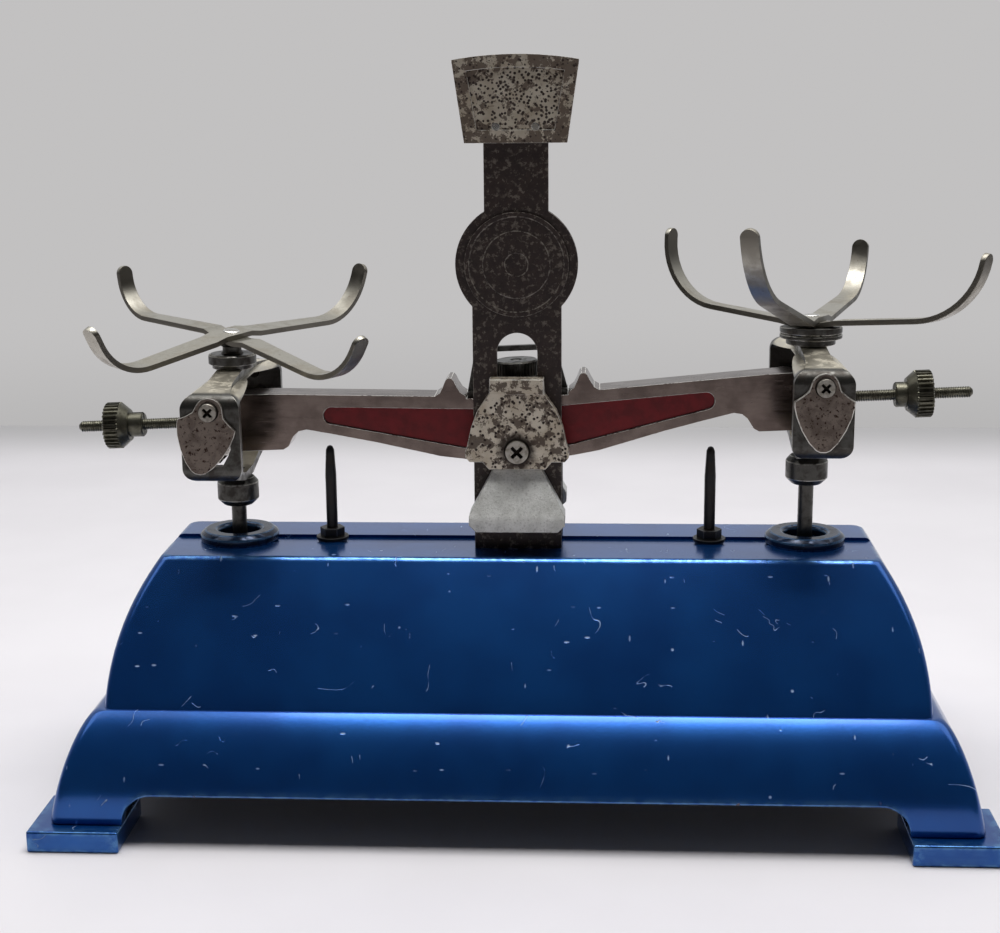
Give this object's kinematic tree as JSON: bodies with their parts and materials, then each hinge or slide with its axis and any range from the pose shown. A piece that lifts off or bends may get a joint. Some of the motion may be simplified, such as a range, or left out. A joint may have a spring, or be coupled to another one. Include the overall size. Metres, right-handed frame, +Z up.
{
  "type": "two-pan balance",
  "caption": "Beam balance with a hollow two-tier cast base, guided carriers with crossed pan supports, knurled balance nuts, a pointer and a fan-shaped dial; pans removed.",
  "frame": {"origin": "middle of the footprint, on the surface the feet stand on", "axes": "+X along the beam to the right arm, +Y from the badge side to the side where the dial is read, +Z up"},
  "size_m": [0.24, 0.124, 0.1918],
  "materials": {
    "blue_enamel": "deep gloss blue enamel over cast iron",
    "collar_black": "gloss blue-black enamel",
    "black_steel": "blackened steel",
    "dark_plate": "dark corroded plating",
    "pitted_nickel": "nickel plating with black pits and brown rust",
    "cast_alloy": "grainy light cast alloy",
    "beam_metal": "worn satin nickel with bright edges",
    "crimson_enamel": "dark crimson enamel",
    "gunmetal": "dark oxidised steel with bright rims",
    "shield_brown": "brown-grey steel with rust spots and bright edges",
    "bright_steel": "bright steel",
    "olive_steel": "dull olive-grey knurled steel",
    "cross_nickel": "warm worn nickel with some rust"
  },
  "bodies": {
    "base": {"base_casting": "blue_enamel", "rod_collars": "collar_black", "stop_pins": "black_steel", "stop_pin_nuts": "black_steel", "stop_pin_washers": "black_steel", "column_plate": "dark_plate", "rear_plate": "dark_plate", "column_foot_block": "gunmetal", "foot_block_screws": "bright_steel", "column_bolt": "bright_steel", "front_apron": "cast_alloy", "rear_apron": "cast_alloy", "centre_bearings": "bright_steel", "front_bearing_cover": "pitted_nickel", "rear_bearing_cover": "pitted_nickel", "bearing_cover_screws": "bright_steel", "dial_plate": "pitted_nickel", "dial_rivets": "bright_steel", "badge_disc": "dark_plate", "stay_bracket": "gunmetal", "stay_pivot_pin": "bright_steel"},
    "beam": {"beam_casting": "beam_metal", "beam_enamel_panels": "crimson_enamel", "centre_knife_edge": "bright_steel", "end_knife_edges": "bright_steel", "pointer": "gunmetal", "pointer_screws": "bright_steel", "sensitivity_stud": "bright_steel", "adjusting_rods": "olive_steel"},
    "sensitivity_nut": {"sensitivity_nut": "gunmetal"},
    "left_balance_nut": {"left_balance_nut": "olive_steel"},
    "right_balance_nut": {"right_balance_nut": "olive_steel"},
    "left_carrier": {"left_carrier_frame": "gunmetal", "left_bearings": "bright_steel", "left_shields": "shield_brown", "left_shield_screws": "bright_steel", "left_guide_rod": "gunmetal", "left_rod_nut": "gunmetal", "left_seat_washers": "gunmetal", "left_rod_pin": "bright_steel"},
    "left_pan_support": {"left_upper_bar": "cross_nickel", "left_lower_bar": "cross_nickel", "left_support_hub": "gunmetal", "left_support_rivet": "bright_steel", "left_retaining_ring": "bright_steel"},
    "right_carrier": {"right_carrier_frame": "gunmetal", "right_bearings": "bright_steel", "right_shields": "shield_brown", "right_shield_screws": "bright_steel", "right_guide_rod": "gunmetal", "right_rod_nut": "gunmetal", "right_seat_washers": "gunmetal", "right_rod_pin": "bright_steel"},
    "right_pan_support": {"right_upper_bar": "cross_nickel", "right_lower_bar": "cross_nickel", "right_support_hub": "gunmetal", "right_support_rivet": "bright_steel", "right_retaining_ring": "bright_steel"},
    "stay": {"stay_bar": "gunmetal"}
  },
  "joints": [
    {"name": "beam_tilt", "type": "hinge", "parent": "base", "child": "beam", "pos_m": [0, 0, 0.098], "axis": [0, 1, 0], "range_deg": [-4.5, 9.3]},
    {"name": "left_carrier_pivot", "type": "hinge", "parent": "beam", "child": "left_carrier", "pos_m": [-0.07643, 0, 0.0948], "axis": [0, 1, 0], "range_deg": [-9.3, 4.5]},
    {"name": "right_carrier_pivot", "type": "hinge", "parent": "beam", "child": "right_carrier", "pos_m": [0.07643, 0, 0.1012], "axis": [0, 1, 0], "range_deg": [-9.3, 4.5]},
    {"name": "stay_tilt", "type": "hinge", "parent": "base", "child": "stay", "pos_m": [0, 0, 0.028], "axis": [0, 1, 0], "range_deg": [-4.5, 9.3]},
    {"name": "left_pan_support_swivel", "type": "hinge", "parent": "left_carrier", "child": "left_pan_support", "pos_m": [-0.07643, 0, 0.1168], "axis": [0, 0, 1], "continuous": true},
    {"name": "right_pan_support_swivel", "type": "hinge", "parent": "right_carrier", "child": "right_pan_support", "pos_m": [0.07643, 0, 0.1232], "axis": [0, 0, 1], "continuous": true},
    {"name": "left_balance_nut_travel", "type": "slide", "parent": "beam", "child": "left_balance_nut", "axis": [0.9991, 0, 0.0419], "range_m": [-0.007, 0.016]},
    {"name": "right_balance_nut_travel", "type": "slide", "parent": "beam", "child": "right_balance_nut", "axis": [0.9991, 0, 0.0419], "range_m": [-0.014, 0.01]},
    {"name": "sensitivity_nut_travel", "type": "slide", "parent": "beam", "child": "sensitivity_nut", "axis": [-0.0419, 0, 0.9991], "range_m": [-0.002, 0.0015]}
  ],
  "couplings": [
    {"joint": "left_carrier_pivot", "follows": "beam_tilt", "ratio": -1},
    {"joint": "right_carrier_pivot", "follows": "beam_tilt", "ratio": -1},
    {"joint": "stay_tilt", "follows": "beam_tilt", "ratio": 1}
  ]
}
